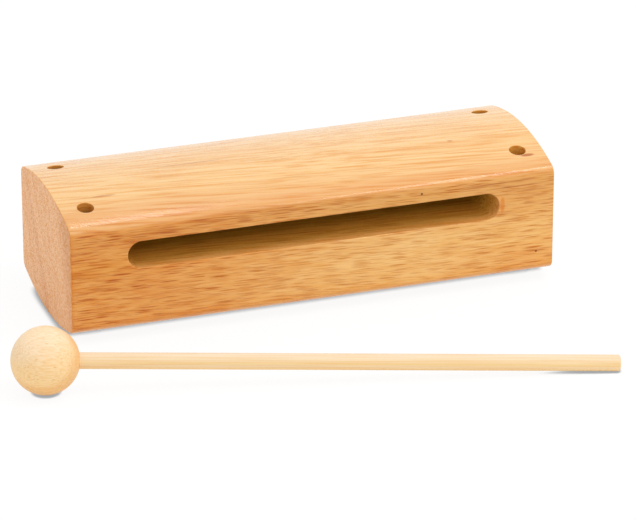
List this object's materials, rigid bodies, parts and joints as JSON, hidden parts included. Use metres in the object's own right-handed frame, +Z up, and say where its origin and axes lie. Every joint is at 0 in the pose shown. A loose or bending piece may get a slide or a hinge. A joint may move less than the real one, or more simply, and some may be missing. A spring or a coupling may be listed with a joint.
{
  "type": "woodblock with beater",
  "caption": "Wooden percussion block with arched top and underside, a round-ended sound slot in its front and drilled corner holes, with a ball-headed wooden beater lying in front of it.",
  "frame": {"origin": "on the table, under the middle of the block, on the line where its arched underside rests", "axes": "+X along the block's length to the right, +Y from the slotted front to the plain back, +Z up"},
  "size_m": [0.2197, 0.1517, 0.051],
  "materials": {
    "block_wood": "honey-coloured hardwood under a thin satin lacquer",
    "head_wood": "pale cream turned hardwood, sanded smooth",
    "handle_wood": "pale cream straight-grained dowel, bare"
  },
  "bodies": {
    "block": {"resonator_block": "block_wood"},
    "beater": {"beater_head": "head_wood", "beater_handle": "handle_wood"}
  },
  "joints": [
    {"name": "beater_lift", "type": "slide", "parent": "block", "child": "beater", "axis": [0, 0, 1], "range_m": [0, 0.15]}
  ]
}
